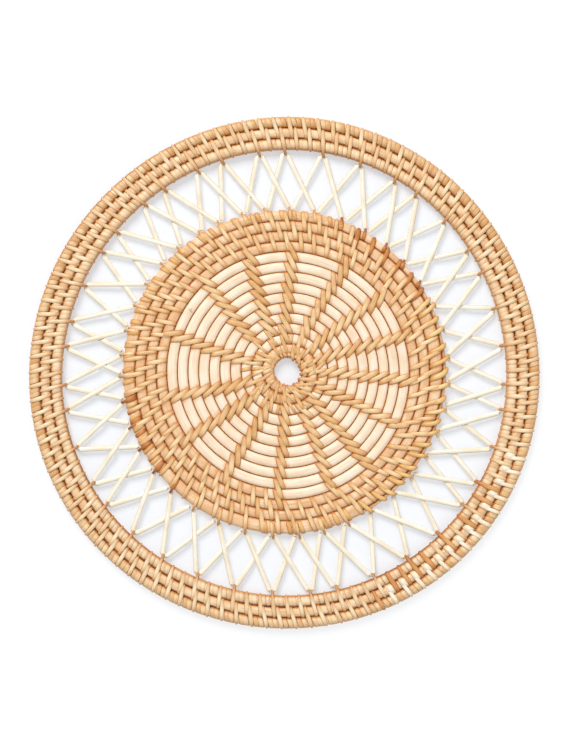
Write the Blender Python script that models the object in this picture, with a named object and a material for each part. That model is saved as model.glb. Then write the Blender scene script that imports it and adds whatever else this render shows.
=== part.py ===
"""A round rattan placemat: a coiled disc laced inside a coiled ring by two zigzag strips.

Metres, +Z up. The mat lies on z = 0 with the middle of its outline on the origin.
Angles are in degrees, clockwise from +Y as seen from above.
"""

import math

import bmesh
import bpy

# Ring: three rounds of wrapped cane, side by side
RING_OUTER_RADIUS = 0.190
RING_ROUND_WIDTHS = (0.0090, 0.0081, 0.0081)  # from the inside outwards
RING_THICKNESS = 0.0090
RING_STEPS = 72
LOBES = (  # a hand-bent ring is a little out of round: count, swell, angle of the first
    (1, 0.0006, 170.0),
    (2, 0.0004, 25.0),
    (3, 0.0009, 13.0),
)

# Disc: one cane wound in a flat spiral, outwards and clockwise
DISC_RADIUS = 0.1200
HOLE_RADIUS = 0.00944
ROUND_PITCH = 0.00773
START_ANGLE = 199.0
LAST_RIB_PASSED = 13  # the cane ends in the gap behind this rib, in its last turn
WHOLE_TURNS = 13
TAPER_TURNS = 0.347  # the cane is shaved down to its tip over this much of a turn
TIP_WIDTH = 0.0011
HOLE_CENTRE = (0.0013, -0.0002)  # the first turns lie a little off the middle
LAST_TURN_CENTRE = (0.0, -0.0008)
DISC_THICKNESS = 0.0077
BOUND_RISE = 0.0008  # a binding strip lies this much above the bare cane
BOUND_FROM_TURN = 9.97  # from here outwards the cane is bound closely
BOUND_RISE_TURNS = 0.1  # the binding comes up over this much of a turn
FULL_DEPTH_SHARE = 0.6  # a tapering round this wide or wider reaches the table
TIP_LIFT_SHARE = 0.5  # of the valley's depth, under the tip

# Ribs: lines of stitches that swirl across the bare turns of the disc
RIB_GAPS = (26, 22, 31, 30, 24, 21, 26, 22, 21, 21, 21, 23, 20, 25, 27)
FIRST_RIB_ANGLE = 210.0
RIB_HALF_WIDTH = 0.0030
RIB_DRIFT = 0.0005  # each stitch sits this far behind the one in the turn outside it
RIB_FROM_TURN = 0.8
LINES_PER_RIB = 4  # one between two ribs, then a rib's near foot, crown and far foot
CROWN_LINE = 2
RIB_WIDEST_SHARE = 0.36  # of the gap between two ribs, near the hole
RIB_FADE_TURNS = 1.5  # outside the bare turns the lines even out over this many turns

RIBS = len(RIB_GAPS)
LINES = LINES_PER_RIB * RIBS
LAST_INDEX = (WHOLE_TURNS + 1) * LINES + LAST_RIB_PASSED * LINES_PER_RIB
RIB_ANGLES = [FIRST_RIB_ANGLE + sum(RIB_GAPS[:number]) for number in range(RIBS)]
RIB_OUTER_RADIUS = HOLE_RADIUS + ROUND_PITCH * BOUND_FROM_TURN

# Section of a round of cane: an octagon
CORNER = 1.0 - math.sqrt(0.5)
CREST_SHARES = (CORNER, 1.0 - CORNER)
VALLEY_DEPTH = 0.0023
RIB_VALLEY_DEPTH = 0.0008

# Lacing: two zigzag strips between ring and disc, each over the other at every second crossing
FOLD_STEPS = (3, 3, 3, 2, 3, 3, 2, 3, 3, 3, 2, 3, 3, 2, 3, 3, 3, 3, 2, 3,
              3, 3, 3, 3, 3, 2, 3, 3, 2, 3, 2, 3, 3, 2, 3, 2, 3, 2, 3, 2)  # ring stitches to the next fold
STRIP_WIDTH = 0.0032
STRIP_THICKNESS = 0.0009
FOLD_HALF_LENGTH = 0.0014
DISC_FOLD_LEAD = 1.2  # degrees that the folds at the disc lie ahead of those at the ring
CROSSING_GAP = 0.0003
CROSSING_SPAN = (0.38, 0.62)  # the stretch of each leg that lies over or under the other strip
SEAT_GAP = 0.00045

SHARP_ANGLE = math.radians(50.0)


def clear_scene():
    """Removes every object that the file starts with."""
    for item in list(bpy.data.objects):
        bpy.data.objects.remove(item, do_unlink=True)


def cane_material(name, colour, roughness):
    """A Principled material for one kind of cane."""
    material = bpy.data.materials.new(name)
    material.use_nodes = True
    shader = material.node_tree.nodes["Principled BSDF"]
    shader.inputs["Base Color"].default_value = (*colour, 1.0)
    shader.inputs["Roughness"].default_value = roughness
    shader.inputs["Metallic"].default_value = 0.0
    return material


def finished_object(name, bm, material):
    """Puts a closed bmesh into a named object, faces out, shaded smooth between its corners."""
    bmesh.ops.recalc_face_normals(bm, faces=bm.faces)
    mesh = bpy.data.meshes.new(name)
    bm.to_mesh(mesh)
    bm.free()
    mesh.materials.append(material)
    mesh.shade_smooth()
    mesh.set_sharp_from_angle(angle=SHARP_ANGLE)
    item = bpy.data.objects.new(name, mesh)
    bpy.context.scene.collection.objects.link(item)
    return item


def at(radius, angle, height):
    """The point at a radius and a clockwise angle."""
    turn = math.radians(angle)
    return (radius * math.sin(turn), radius * math.cos(turn), height)


def smooth_step(value):
    """Rises from 0 to 1 with level ends."""
    value = min(1.0, max(0.0, value))
    return value * value * (3.0 - 2.0 * value)


def swell(angle):
    """How far the hand-bent ring stands outside its true circle."""
    return sum(size * math.cos(math.radians(count * (angle - first)))
               for count, size, first in LOBES)


# ---------------------------------------------------------------- ring

def ring_section():
    """The closed outline of the ring's section as (radius, height), round by round."""
    upper = []
    inner = RING_OUTER_RADIUS - sum(RING_ROUND_WIDTHS)
    lower_corner = CORNER * RING_THICKNESS
    upper.append((inner, RING_THICKNESS - lower_corner))
    for number, width in enumerate(RING_ROUND_WIDTHS):
        for share in CREST_SHARES:
            upper.append((inner + share * width, RING_THICKNESS))
        inner += width
        last = number == len(RING_ROUND_WIDTHS) - 1
        upper.append((inner, RING_THICKNESS - (lower_corner if last else VALLEY_DEPTH)))
    lower = [(radius, RING_THICKNESS - height) for radius, height in reversed(upper)]
    return upper + lower


def make_ring(material):
    """Spins the section about Z, then bends the circle out of round."""
    bm = bmesh.new()
    corners = [bm.verts.new((radius, 0.0, height)) for radius, height in ring_section()]
    edges = [bm.edges.new((a, b)) for a, b in zip(corners, corners[1:] + corners[:1])]
    bmesh.ops.spin(bm, geom=corners + edges, cent=(0, 0, 0), axis=(0, 0, 1), dvec=(0, 0, 0),
                   angle=2.0 * math.pi, steps=RING_STEPS, use_merge=True)
    bmesh.ops.remove_doubles(bm, verts=bm.verts, dist=1e-6)
    for vertex in bm.verts:
        x, y, height = vertex.co
        angle = math.degrees(math.atan2(x, y))
        vertex.co = at(math.hypot(x, y) + swell(angle), angle, height)
    return finished_object("coiled_ring", bm, material)


# ---------------------------------------------------------------- disc

def line_angle(index):
    """Angle of a line of points, counted along the spiral.

    On the bare turns the lines follow the ribs, which swirl back towards the hole. On
    the closely bound turns they are evenly spaced.
    """
    turn, line = divmod(index, LINES)
    rib, place = divmod(line, LINES_PER_RIB)
    radius = HOLE_RADIUS + ROUND_PITCH * max(0.0, turn - 1 + line / LINES)
    gap_before = RIB_GAPS[rib - 1]
    gap_after = RIB_GAPS[rib]
    foot = math.degrees(RIB_HALF_WIDTH / radius)
    ribbed = RIB_ANGLES[rib] + (
        -0.5 * gap_before,
        -min(foot, RIB_WIDEST_SHARE * gap_before),
        0.0,
        min(foot, RIB_WIDEST_SHARE * gap_after),
    )[place]
    turns_inside = max(0.0, math.log(RIB_OUTER_RADIUS / radius))
    ribbed -= math.degrees(RIB_DRIFT / ROUND_PITCH) * turns_inside
    even = START_ANGLE + 360.0 * line / LINES
    spread = smooth_step((radius - RIB_OUTER_RADIUS) / (RIB_FADE_TURNS * ROUND_PITCH))
    return 360.0 * turn + ribbed + (even - ribbed) * spread


def turn_at(index):
    """How many full-width turns of cane lie inside this point of the spiral."""
    return (line_angle(index) - START_ANGLE) / 360.0 - 1.0


def spiral_radius(turns, angle):
    """Radius of the edge between two turns, before the cane tapers."""
    share = min(1.0, max(0.0, turns / (WHOLE_TURNS + 1)))
    centre = [a + (b - a) * share for a, b in zip(HOLE_CENTRE, LAST_TURN_CENTRE)]
    side = math.radians(angle)
    drift = centre[0] * math.sin(side) + centre[1] * math.cos(side)
    return HOLE_RADIUS + ROUND_PITCH * max(0.0, turns) + drift


def edge_radius(index):
    """Radius of the cane's inner edge at a line; past the cane's end, of the disc's rim."""
    if index > LAST_INDEX:
        return DISC_RADIUS
    angle = line_angle(index)
    turns = turn_at(index)
    radius = spiral_radius(turns, angle)
    if index >= LINES:
        radius = max(radius, spiral_radius(0.0, angle) + TIP_WIDTH)
    taper_start = turn_at(LAST_INDEX) - TAPER_TURNS
    if turns > taper_start:
        full = DISC_RADIUS - spiral_radius(taper_start, 360.0 * taper_start + START_ANGLE)
        left = 1.0 - (turns - taper_start) / TAPER_TURNS
        radius = DISC_RADIUS - max(TIP_WIDTH, full * left * left)
    return radius


def disc_heights(index, width):
    """Heights of the crest and of the valleys on top of the disc, at one line."""
    turns = turn_at(index)
    fullness = min(1.0, width / ROUND_PITCH)
    crest = DISC_THICKNESS - (1.0 - fullness) * VALLEY_DEPTH
    bound = smooth_step((turns - BOUND_FROM_TURN) / BOUND_RISE_TURNS + 1.0)
    crest += BOUND_RISE * bound
    on_crown = index % LINES_PER_RIB == CROWN_LINE
    if on_crown and turns > RIB_FROM_TURN and bound == 0.0:
        return crest + BOUND_RISE, crest + BOUND_RISE - RIB_VALLEY_DEPTH
    return crest, DISC_THICKNESS + BOUND_RISE * bound - VALLEY_DEPTH


def make_disc(material):
    """One closed spiral slab: ridged above with ribs, ridged below with level lands."""
    bm = bmesh.new()
    total = LAST_INDEX + LINES

    def edge_point(index, height):
        """A corner on the edge between two rounds."""
        return bm.verts.new(at(edge_radius(index), line_angle(index), height))

    def crest_points(index, height):
        """The two corners of the level crest between two edges."""
        inner, outer = edge_radius(index), edge_radius(index + LINES)
        first, second = line_angle(index), line_angle(index + LINES) - 360.0
        return [bm.verts.new(at(inner + (outer - inner) * share,
                                first + (second - first) * share, height))
                for share in CREST_SHARES]

    top_edges, top_crests, low_edges, low_crests = {}, {}, {}, {}
    for index in range(total + 1):
        inside = min(index, LAST_INDEX)
        width = edge_radius(inside + LINES) - edge_radius(inside)
        crest, valley = disc_heights(inside, width)
        on_rim = index > LAST_INDEX
        top_edges[index] = edge_point(
            index, DISC_THICKNESS + BOUND_RISE - VALLEY_DEPTH if on_rim else valley)
        if index % 2 == 0:
            low_edges[index] = edge_point(index, VALLEY_DEPTH)
        if on_rim:
            continue
        top_crests[index] = crest_points(index, crest)
        if index % 2 == 0:
            thinness = 1.0 - min(1.0, width / (FULL_DEPTH_SHARE * ROUND_PITCH))
            lift = thinness * TIP_LIFT_SHARE * VALLEY_DEPTH
            low_crests[index] = crest_points(index, lift)

    def cross_row(edges, crests, index):
        """All corners across one round, from its inner edge to its outer one."""
        return [edges[index], *crests[index], edges[index + LINES]]

    def skin(edges, crests, step):
        """Faces along the spiral, from each cross row to the next."""
        for index in range(0, LAST_INDEX, step):
            here = cross_row(edges, crests, index)
            there = cross_row(edges, crests, index + step)
            for k in range(len(here) - 1):
                bm.faces.new((here[k], there[k], there[k + 1], here[k + 1]))

    skin(top_edges, top_crests, 1)
    skin(low_edges, low_crests, 2)
    for first in (0, LAST_INDEX):
        for index in range(first, first + LINES, 2):
            bm.faces.new((top_edges[index], top_edges[index + 1], top_edges[index + 2],
                          low_edges[index + 2], low_edges[index]))
        bm.faces.new(cross_row(top_edges, top_crests, first)
                     + cross_row(low_edges, low_crests, first)[::-1])
    bmesh.ops.triangulate(bm, faces=[face for face in bm.faces if len(face.verts) > 4])
    return finished_object("coiled_disc", bm, material)


# ---------------------------------------------------------------- lacing

def fold_angles():
    """Angles of the folds at the ring and at the disc.

    At the ring a fold is caught by every third stitch, now and then by the second. At
    the disc the folds are evened out: each is led by the mean of three at the ring.
    """
    stitch = 360.0 / sum(FOLD_STEPS)
    at_ring = [stitch * sum(FOLD_STEPS[:number]) for number in range(len(FOLD_STEPS))]
    before = [at_ring[-1] - 360.0] + at_ring[:-1]
    after = at_ring[1:] + [360.0]
    at_disc = [sum(three) / 3.0 + DISC_FOLD_LEAD for three in zip(before, at_ring, after)]
    return at_ring, at_disc


def fold_points(radius, angle, height):
    """The two ends of a short level stretch where the strip turns back."""
    half = math.degrees(FOLD_HALF_LENGTH / radius)
    return [at(radius, angle - half, height), at(radius, angle + half, height)]


def leg_points(start, end, lift):
    """The raised or lowered stretch in the middle of a leg, where it crosses the other strip."""
    found = []
    for share in CROSSING_SPAN:
        x, y, z = (a + (b - a) * share for a, b in zip(start, end))
        found.append((x, y, z + lift))
    return found


def zigzag_path(first):
    """The closed middle line of one strip, whose folds at the ring are first, first + 2, ..."""
    at_ring, at_disc = fold_angles()
    count = len(at_ring)
    seat = SEAT_GAP + 0.5 * STRIP_WIDTH
    ring_inner = RING_OUTER_RADIUS - sum(RING_ROUND_WIDTHS)
    height = 0.5 * DISC_THICKNESS
    lift = 0.5 * (STRIP_THICKNESS + CROSSING_GAP)
    folds = []
    for number in range(first, first + count):
        angle = (at_ring if (number - first) % 2 == 0 else at_disc)[number % count]
        if (number - first) % 2 == 0:
            folds.append(fold_points(ring_inner + swell(angle) - seat, angle, height))
        else:
            folds.append(fold_points(DISC_RADIUS + seat, angle, height))
    path = []
    for number, fold in enumerate(folds):
        inwards = number % 2 == 0
        following = folds[(number + 1) % count]
        path += fold + leg_points(fold[1], following[0], lift if inwards else -lift)
    return path


def mitred_sides(path):
    """For each point of a closed flat path, the step sideways to the strip's edge."""
    steps = []
    for before, here, after in zip(path[-1:] + path[:-1], path, path[1:] + path[:1]):
        normals = []
        for a, b in ((before, here), (here, after)):
            length = math.hypot(b[0] - a[0], b[1] - a[1])
            normals.append(((a[1] - b[1]) / length, (b[0] - a[0]) / length))
        sum_x = normals[0][0] + normals[1][0]
        sum_y = normals[0][1] + normals[1][1]
        scale = STRIP_WIDTH / (sum_x * sum_x + sum_y * sum_y)
        steps.append((sum_x * scale, sum_y * scale))
    return steps


def make_strip(name, first, material):
    """One flat strip of split cane, carried along its zigzag."""
    bm = bmesh.new()
    path = zigzag_path(first)
    rows = []
    for (x, y, z), (side_x, side_y) in zip(path, mitred_sides(path)):
        rows.append([bm.verts.new((x + way * side_x, y + way * side_y, z + up * STRIP_THICKNESS))
                     for way, up in ((1, -0.5), (-1, -0.5), (-1, 0.5), (1, 0.5))])
    for here, there in zip(rows, rows[1:] + rows[:1]):
        for k in range(4):
            bm.faces.new((here[k], here[(k + 1) % 4], there[(k + 1) % 4], there[k]))
    return finished_object(name, bm, material)


def centre_on_origin(items):
    """Moves every piece so that the middle of the whole outline is on the Z axis."""
    corners = [vertex.co for item in items for vertex in item.data.vertices]
    middle = [0.5 * (min(c[axis] for c in corners) + max(c[axis] for c in corners))
              for axis in (0, 1)]
    for item in items:
        for vertex in item.data.vertices:
            vertex.co.x -= middle[0]
            vertex.co.y -= middle[1]


def main():
    """Builds the mat."""
    clear_scene()
    bound_cane = cane_material("bound_cane", (0.72, 0.47, 0.25), 0.50)
    bare_cane = cane_material("bare_cane", (0.86, 0.66, 0.42), 0.45)
    lacing_cane = cane_material("lacing_cane", (0.93, 0.84, 0.66), 0.50)
    centre_on_origin([
        make_ring(bound_cane),
        make_disc(bare_cane),
        make_strip("lacing_strip_a", 0, lacing_cane),
        make_strip("lacing_strip_b", 1, lacing_cane),
    ])


main()
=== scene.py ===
"""The looks of a round rattan placemat: bare cane, bound cane and pale lacing.

Metres, +Z up. Angles are in degrees, clockwise from +Y as seen from above. Along the
disc's one cane, "turns" counts how often the edge between two rounds has gone round
since the cane's start at the hole.
"""

from __future__ import annotations

import logging
import math
from collections.abc import Callable
from dataclasses import dataclass, field, replace
from enum import Enum

import bpy
import numpy as np
import numpy.typing as npt
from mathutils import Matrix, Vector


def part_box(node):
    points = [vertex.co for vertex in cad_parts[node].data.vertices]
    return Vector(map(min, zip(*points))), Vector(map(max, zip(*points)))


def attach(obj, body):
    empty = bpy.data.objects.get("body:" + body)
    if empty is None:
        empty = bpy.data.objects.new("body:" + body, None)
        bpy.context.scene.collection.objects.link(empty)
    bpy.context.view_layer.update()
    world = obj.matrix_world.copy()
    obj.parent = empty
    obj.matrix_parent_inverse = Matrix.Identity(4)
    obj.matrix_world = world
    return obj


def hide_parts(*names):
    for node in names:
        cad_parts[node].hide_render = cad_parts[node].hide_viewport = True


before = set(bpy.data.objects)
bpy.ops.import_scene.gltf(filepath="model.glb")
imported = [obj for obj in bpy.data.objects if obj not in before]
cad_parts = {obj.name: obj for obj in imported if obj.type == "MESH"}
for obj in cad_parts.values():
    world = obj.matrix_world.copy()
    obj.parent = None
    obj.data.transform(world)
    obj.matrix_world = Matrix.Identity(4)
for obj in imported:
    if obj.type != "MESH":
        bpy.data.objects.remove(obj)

Floats = npt.NDArray[np.float64]
Ints = npt.NDArray[np.int64]
Values = Floats | float
Pair = tuple[float, float]
Triple = tuple[float, float, float]
Screen = tuple[int, int, int]
Socket = bpy.types.NodeSocket
Tree = bpy.types.NodeTree
Inputs = dict[str | int, object]

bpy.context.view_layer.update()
LOG = logging.getLogger("placemat")

MID_HEIGHT = 0.0042  # of the disc's cane; the shading takes it for the ring's too
UP = np.array([0.0, 0.0, 1.0])


def disc_middle() -> Floats:
    """The point that the disc is centred on, from the CAD disc's box."""
    low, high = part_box("coiled_disc")
    return np.array([0.5 * (low.x + high.x), 0.5 * (low.y + high.y)])


MIDDLE = disc_middle()


class Slot(Enum):
    """The record's material slots."""

    BOUND = "bound_cane"
    BARE = "bare_cane"
    LACING = "lacing_cane"


# ---------------------------------------------------------------- shapes


def unit(vectors: Floats) -> Floats:
    """Each vector divided by its own length."""
    length = np.linalg.norm(vectors, axis=-1, keepdims=True)
    return vectors / np.maximum(length, 1e-12)


def around(radius: Values, degrees: Values, height: Values) -> Floats:
    """Points about the disc's middle.

    The x is the radius times the sine of the angle, the y is the radius times its cosine.

    Args:
        radius: From the middle.
        degrees: Clockwise angles.
        height: Above the table.

    Returns:
        The points.
    """
    turn = np.radians(degrees)
    x, y = MIDDLE[0] + radius * np.sin(turn), MIDDLE[1] + radius * np.cos(turn)
    return np.stack(np.broadcast_arrays(x, y, height), axis=-1)


def clockwise(degrees: Floats) -> Floats:
    """The level direction that runs clockwise at each angle."""
    turn = np.radians(degrees)
    return np.stack([np.cos(turn), -np.sin(turn), np.zeros_like(turn)], axis=-1)


def wrapped(degrees: Floats) -> Floats:
    """The same angles, from -180 up to 180."""
    return (degrees + 180.0) % 360.0 - 180.0


def smooth_step(value: Floats) -> Floats:
    """Rises from 0 to 1 with level ends: three squares less two cubes of the value."""
    value = np.clip(value, 0.0, 1.0)
    return value * value * (3.0 - 2.0 * value)


def nearest(angles: Floats, wanted: tuple[float, ...]) -> npt.NDArray[np.bool_]:
    """Which of the angles is the nearest to one that is wanted.

    Args:
        angles: To choose from.
        wanted: The angles that are wanted.

    Returns:
        True at the chosen ones.
    """
    chosen = np.zeros(len(angles), dtype=bool)
    apart = np.abs(wrapped(angles[:, None] - np.array(wanted)[None, :]))
    chosen[np.argmin(apart, axis=0)] = True
    return chosen


@dataclass(frozen=True)
class Surface:
    """A mesh of four-cornered faces with what its finish reads at each point."""

    points: Floats
    quads: Ints  # four point numbers for each face, going round it with the face outwards
    cane: Floats  # for each point, metres along the cane and across it, and its strip's number
    browner: Floats  # for each point, from 0 to 1, how much browner it is painted: painted shade where a strip dives down at its ends, and on the cane beside a stitch's edge


def joined(*surfaces: Surface) -> Surface:
    """Several surfaces as one.

    Args:
        surfaces: In the order that they keep.

    Returns:
        All of them, with their point numbers moved on.
    """
    counts = np.cumsum([0] + [len(one.points) for one in surfaces[:-1]])
    return Surface(
        np.concatenate([one.points for one in surfaces]),
        np.concatenate([one.quads + count for one, count in zip(surfaces, counts)]),
        np.concatenate([one.cane for one in surfaces]),
        np.concatenate([one.browner for one in surfaces]),
    )


@dataclass(frozen=True)
class Section:
    """The outline of a strip across its length, clockwise from its left foot."""

    across: tuple[float, ...]  # places sideways, as shares of the whole width
    rise: tuple[float, ...]  # heights outwards, as shares of the whole thickness


SPLIT_CANE = Section((-0.5, -0.35, 0.35, 0.5), (0.0, 1.0, 1.0, 0.0))
FLAT_CANE = Section((-0.46, -0.5, -0.43, -0.15, 0.15, 0.43, 0.5, 0.46),
                    (-0.5, -0.05, 0.38, 0.5, 0.5, 0.38, -0.05, -0.5))
CANE_CORNERS = 16


def round_section(squareness: float) -> Section:
    """A rounded section, clockwise from the left.

    The sine and the cosine of each corner's turn are raised to one less the squareness,
    with their signs kept.

    Args:
        squareness: 0 for a circle and 1 for a square.

    Returns:
        The section.
    """
    turn = math.pi - 2.0 * np.pi * (np.arange(CANE_CORNERS) + 0.5) / CANE_CORNERS
    across, rise = (0.5 * np.sign(wave) * np.abs(wave) ** (1.0 - squareness)
                    for wave in (np.cos(turn), np.sin(turn)))
    return Section(tuple(across), tuple(rise))


def carried(section: Section, path: Floats, side: Floats, width: Values,
            thickness: Values, numbers: Floats, closed: bool,
            browner: Values = 0.0) -> Surface:
    """Carries a section along each of many paths.

    Ahead is the way from the point before to the point after. Sideways is the hint made
    square to ahead, and outwards is ahead crossed with sideways. A corner lies at the
    path's point, plus across times width sideways, plus rise times thickness outwards.

    Args:
        section: The outline to carry.
        path: Points, as strips by steps by three.
        side: A hint of the sideways direction at each point, in the same shape.
        width: The strip's width, for each strip and step or broadcast to them.
        thickness: Its thickness, likewise.
        numbers: One number for each strip, which its finish reads.
        closed: Whether each path runs back into its own start.
        browner: How much painted shade each strip and step has, from 0 to 1.

    Returns:
        All the strips as one surface.
    """
    strips, steps, _ = path.shape
    size = len(section.across)

    def spread(values: Values) -> Floats:
        """The values of strips and steps, at every corner."""
        values = np.broadcast_to(values, (strips, steps))
        return np.broadcast_to(values[:, :, None], (strips, steps, size))

    if closed:
        ahead = unit(np.roll(path, -1, axis=1) - np.roll(path, 1, axis=1))
    else:
        ahead = unit(np.gradient(path, axis=1))
    side = unit(side - np.sum(side * ahead, axis=-1, keepdims=True) * ahead)
    out = np.cross(ahead, side)
    across = np.array(section.across) * spread(width)
    rise = np.array(section.rise) * spread(thickness)
    points = (path[:, :, None, :] + across[..., None] * side[:, :, None, :]
              + rise[..., None] * out[:, :, None, :])

    length = np.linalg.norm(np.diff(path, axis=1), axis=-1)
    along = np.concatenate([np.zeros((strips, 1)), np.cumsum(length, axis=1)], axis=1)
    cane = np.stack(np.broadcast_arrays(
        along[:, :, None], across + 0.5 * rise, numbers[:, None, None]), axis=-1)

    strip, step, corner = np.meshgrid(
        np.arange(strips), np.arange(steps if closed else steps - 1), np.arange(size),
        indexing="ij")

    def number(row: Ints, place: Ints) -> Ints:
        """The point numbers at steps along and corners round, both wrapped."""
        return (strip * steps + row % steps) * size + place % size

    quads = np.stack([number(step, corner), number(step + 1, corner),
                      number(step + 1, corner + 1), number(step, corner + 1)], axis=-1)
    quads = quads.reshape(-1, 4)
    if not closed:
        fan = np.array([(0, 2 * k + 1, 2 * k + 2, 2 * k + 3) for k in range(size // 2 - 1)])
        first = (np.arange(strips) * steps * size)[:, None, None]
        start = (first + fan[None]).reshape(-1, 4)
        end = (first + (steps - 1) * size + fan[None, :, ::-1]).reshape(-1, 4)
        quads = np.concatenate([quads, start, end])
    return Surface(points.reshape(-1, 3), quads, cane.reshape(-1, 3), spread(browner).ravel())


# ---------------------------------------------------------------- binding strips


@dataclass(frozen=True)
class Rounds:
    """One or two rounds of cane that strips go round."""

    outer: Values  # radius of the outer edge, for all the strips or for each
    middle: Values  # radius between the two rounds, or of the one round's crest
    inner: Values  # radius of the inner edge
    mid_height: float  # height of the cane's middle
    half_height: float  # from there up to the strips' foot on a crest


@dataclass(frozen=True)
class Loop:
    """The way a strip goes round its rounds of cane, as a closed line."""

    reach: tuple[float, ...]  # places from -1 at the outer edge over 0 to 1 at the inner edge
    # Heights from -1 at the underside over 0 at mid height to 1 at the crest.
    rise: tuple[float, ...]
    narrowing: float = 0.40  # how much narrower the strip is at both ends

    def paths(self, angles: Floats, rounds: Rounds, slant: Floats) -> tuple[Floats, Floats]:
        """Lays the line round the cane at each angle.

        The radius runs straight from the outer to the middle and on to the inner edge
        with reach. The angle moves clockwise with reach by half the slant each way.

        Args:
            angles: The angle of each loop's middle.
            rounds: What it goes round.
            slant: How far clockwise the inner end lies from the outer one, in metres.

        Returns:
            The points, and at each the clockwise direction.
        """
        reach = np.array(self.reach)
        outer, middle, inner, slant, angles = (
            np.broadcast_to(value, angles.shape)[:, None]
            for value in (rounds.outer, rounds.middle, rounds.inner, slant, angles))
        radius = middle - reach * np.where(reach < 0, outer - middle, middle - inner)
        degrees = angles + np.degrees(0.5 * slant * reach / radius)
        height = rounds.mid_height + rounds.half_height * np.array(self.rise)
        return around(radius, degrees, height), clockwise(degrees)


# A long stitch dips between its two rounds and dives into the valleys beside them.
LONG = Loop(
    (-1.0, -0.95, -0.82, -0.52, -0.2, 0.2, 0.52, 0.82, 0.95, 1.0, 0.8, 0.3, -0.3, -0.8),
    (0.0, 0.5, 0.86, 1.04, 0.92, 0.86, 0.96, 0.82, 0.5, 0.0, -0.8, -0.95, -0.95, -0.8))
# A short wrap goes once round a single round.
SHORT = Loop((-1.0, -0.9, -0.5, 0.0, 0.5, 0.9, 1.0, 0.75, 0.0, -0.75),
             (0.0, 0.5, 0.9, 1.0, 0.9, 0.5, 0.0, -0.7, -1.0, -0.7), narrowing=0.0)
# A catching stitch reaches past the ring's inner edge, round a fold of the lacing.
CATCH_IN = Loop(
    (-1.0, -0.95, -0.82, -0.52, -0.2, 0.2, 0.52, 0.85, 1.15, 1.35, 1.42, 1.3, 0.7, -0.3, -0.8),
    (0.0, 0.5, 0.84, 1.0, 0.86, 0.86, 0.98, 0.8, 0.55, 0.3, -0.1, -0.5, -0.9, -0.95, -0.8))
# A catching wrap reaches past the disc's rim in the same way.
CATCH_OUT = Loop((-1.72, -1.6, -1.2, -0.7, -0.2, 0.4, 0.85, 1.0, 0.75, 0.0, -0.9, -1.5),
                 (-0.1, 0.3, 0.62, 0.9, 1.0, 0.94, 0.6, 0.0, -0.7, -0.98, -0.8, -0.45))

# Painted shade towards a strip's ends, where it dives down beside the cane.
OUTER_END_SHADE = 0.75  # how much painted shade the outer end has where the inner one has 1
END_SHADE_POWER = 1.9


@dataclass(frozen=True)
class Variety:
    """How much the strips of one kind differ from each other."""

    slip: float  # standard deviation of their places, in metres along the cane
    slants: Pair  # the least and the greatest share of the slant
    widths: Pair  # the least and the greatest share of the width

    def strips(self, random: np.random.Generator, loop: Loop, angles: Floats, rounds: Rounds,
               radius: Values, slant: Values, width: float, thickness: float,
               tones: Pair = (0.0, 1.0), paler: Values = 0.0) -> Surface:
        """Strips of split cane, carried round their loops.

        Their places, slants, widths and tones are seeded, and drawn in that order. They
        get more painted shade towards their ends, where they dive down beside the cane,
        by a power of the reach, and the loop's narrowing grows with the reach's fourth power.

        Args:
            random: Where the draws come from.
            loop: The way round.
            angles: Of the strips' middles before they slip.
            rounds: What they go round.
            radius: At which they slip.
            slant: In metres, for a strip of this kind.
            width: Likewise.
            thickness: Likewise.
            tones: The darkest and the palest tone, from 0 to 1.
            paler: Added to their tones.

        Returns:
            The strips.
        """
        count = len(angles)
        if self.slip > 0.0:
            angles = angles + np.degrees(random.normal(0.0, self.slip, count) / radius)
        slant = slant * random.uniform(*self.slants, count)
        width = width * random.uniform(*self.widths, count)
        tone = np.clip(random.uniform(*tones, count) + paler, 0.0, 1.0)
        path, side = loop.paths(angles, rounds, slant)
        reach = np.clip(loop.reach, -1.0, 1.0)
        width = width[:, None] * (1.0 - loop.narrowing * reach ** 4)
        # Painted shade towards both ends, where the strip dives down beside the cane, most at the
        # inner end.
        browner = np.where(reach > 0.0, 1.0, OUTER_END_SHADE) * np.abs(reach) ** END_SHADE_POWER
        return carried(SPLIT_CANE, path, side, width, thickness, tone, True, browner)


DISC_STITCHES = Variety(0.0004, (0.75, 1.25), (0.88, 1.1))
DISC_WRAPS = Variety(0.0003, (0.6, 1.4), (0.9, 1.1))
HOLE_WRAPS = Variety(0.0, (-0.0006, 0.0026), (0.8, 1.25))  # whose slants are in metres
RING_STRIPS = Variety(0.00022, (0.85, 1.15), (0.92, 1.08))


# ---------------------------------------------------------------- finishes


def linear(colour: Screen) -> tuple[float, ...]:
    """A colour given as 0 to 255 on a screen, in linear light.

    A small share of 255 is divided by 12.92. A larger one has 0.055 added, is divided by
    1.055 and raised to 2.4.

    Args:
        colour: Red, green and blue.

    Returns:
        The same, and an opacity of one.
    """
    shares = [value / 255.0 for value in colour]
    return (*(share / 12.92 if share <= 0.04045 else ((share + 0.055) / 1.055) ** 2.4
              for share in shares), 1.0)


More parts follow.
